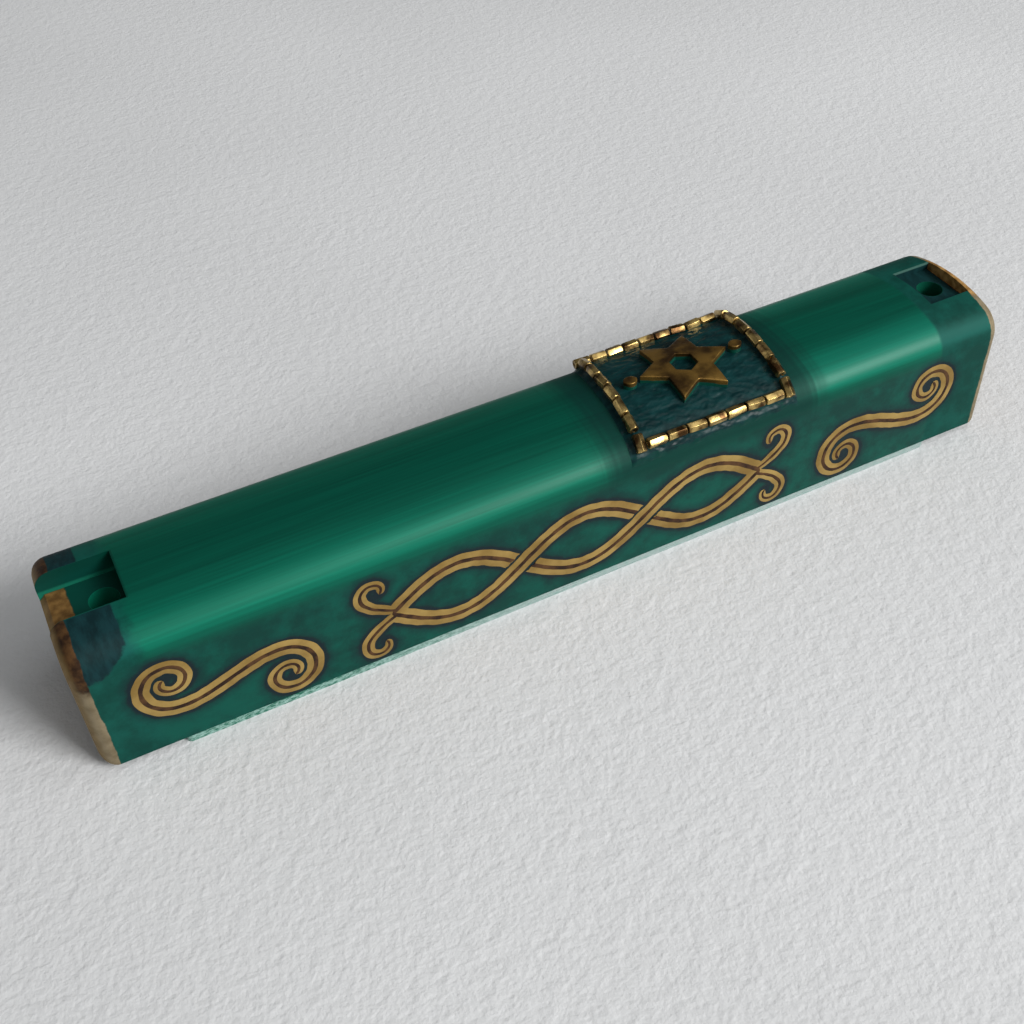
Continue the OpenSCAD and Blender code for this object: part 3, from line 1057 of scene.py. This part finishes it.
# %% Gold and brown paint
gilding = Finish("gold_paint")
clouds = gilding.noise(260, 4)
specks = gilding.noise(2600, 2)
gilding.shade(
    Base_Color=gilding.mottled(clouds, 0.3, 0.7, (130, 103, 50), (166, 138, 78)),
    Metallic=0.25,
    Roughness=gilding.mix_number(specks, 0.4, 0.65),
    Normal=gilding.bump(specks, 0.02),
    Specular_IOR_Level=0.25,
)
gilding.dress(*gold_bands)
ink = Finish("brown_ink")
wear = ink.noise(700, 3)
ink.shade(
    Base_Color=ink.mottled(wear, 0.35, 0.7, (42, 28, 22), (84, 58, 36)),
    Roughness=ink.mix_number(wear, 0.5, 0.7),
    Specular_IOR_Level=0.12,
)
ink.dress(*core_lines)
print("ornament is painted")

# %% [markdown]
# ## The emblem's gilding
# Gold was wiped over the raised tops, so the sides of the emblem stay green. The stored height
# decides which is which, with noise added, so that the gold ends unevenly.

# %% Emblem finish
gilt_top = Finish("gilded_relief")
smears = gilt_top.noise(420, 4)
uneven = gilt_top.times(gilt_top.minus(smears, 0.5), 0.5)
covered = gilt_top.step(gilt_top.plus(gilt_top.stored("height"), uneven), 0.62, 0.78)
metal = gilt_top.mottled(smears, 0.32, 0.68, (66, 46, 20), (140, 108, 50))
gilt_top.shade(
    Base_Color=gilt_top.coat(paint(4, 66, 54), covered, metal),
    Metallic=gilt_top.times(covered, 0.75),
    Roughness=gilt_top.mix_number(smears, 0.22, 0.45),
    Normal=gilt_top.bump(smears, 0.16),
)
gilt_top.dress(emblem)
print("emblem is gilded")

# %% [markdown]
# ## Panel paint
# The ground is nearly black green with a blue cast. It is glossy, so its ridges sparkle. Towards
# its rim it turns into the green of the case, which hides where the film ends.

# %% Panel finish
dark = Finish("panel_paint")
daubs = dark.noise((420, 900, 900), 4)
rough_edge = dark.times(dark.minus(dark.noise((420, 700, 700), 5, 0.65), 0.5), 2.6)
inside = dark.step(dark.plus(dark.stored("to_edge"), rough_edge), 0.25, 0.75)
teal = dark.mottled(daubs, 0.3, 0.7, (3, 34, 36), (10, 52, 53))
dark.shade(
    Base_Color=dark.coat(paint(0, 52, 45), inside, teal),
    Roughness=dark.mix_number(daubs, 0.28, 0.48),
    Specular_IOR_Level=0.16,
    Normal=dark.bump(daubs, 0.05),
)
dark.dress(ground)
print("panel is painted")

# %% [markdown]
# ## Bead metal
# The beads are bronze-gold and have picked up dark paint, so a patchy brown lies over the metal.

# %% Bead finish
bronze = Finish("bead_bronze")
patina = bronze.noise(520, 4)
scuffs = bronze.noise(1900, 3)
bronze.shade(
    Base_Color=bronze.mottled(patina, 0.34, 0.62, (70, 48, 24), (200, 172, 108)),
    Metallic=0.9,
    Roughness=bronze.mix_number(scuffs, 0.18, 0.42),
    Normal=bronze.bump(scuffs, 0.03),
)
bronze.dress(*beads.values())
print("beads are finished")

# %% [markdown]
# ## The back cover
# The cover is a clear plastic plate that snaps into the back. The imported solid has its shape, so
# it stays and only gets a finish. Towards the lower end its edge is a pale mint with specks of
# green that ran over from the side, and towards the upper end it is cleaner. The pale tones are
# painted light, for white paper seen through the clear plastic.

# %% Cover finish
clear = Finish("clear_plastic")
runs_over = clear.noise((1100, 2400, 2900), 6, 0.75)
scratches = clear.noise((150, 2600, 2600), 4)
# The pale mint and the pale grey are painted light, for white paper seen through the clear plastic;
# the green specks are paint.
mint = clear.mottled(runs_over, 0.40, 0.60, (176, 222, 210), (14, 122, 96))
bare = clear.mottled(runs_over, 0.25, 0.75, (206, 218, 216), (156, 196, 187))
clean_end = clear.step(clear.axes()[0], -40, 0)
clear.shade(
    Base_Color=clear.coat(mint, clean_end, bare),
    Roughness=clear.mix_number(scratches, 0.15, 0.45),
    Transmission_Weight=0.4,
    IOR=1.49,
    Normal=clear.bump(scratches, 0.02),
)
clear.dress(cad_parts["back_cover"])
print("cover is clear")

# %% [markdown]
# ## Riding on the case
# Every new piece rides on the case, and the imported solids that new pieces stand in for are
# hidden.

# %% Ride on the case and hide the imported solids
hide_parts("case_body")
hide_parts("panel_ground")
for node, piece in beads.items():
    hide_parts(node)
    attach(piece, "case")
for piece in (shell, ground, emblem, *gold_bands, *core_lines):
    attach(piece, "case")
clear_selection()
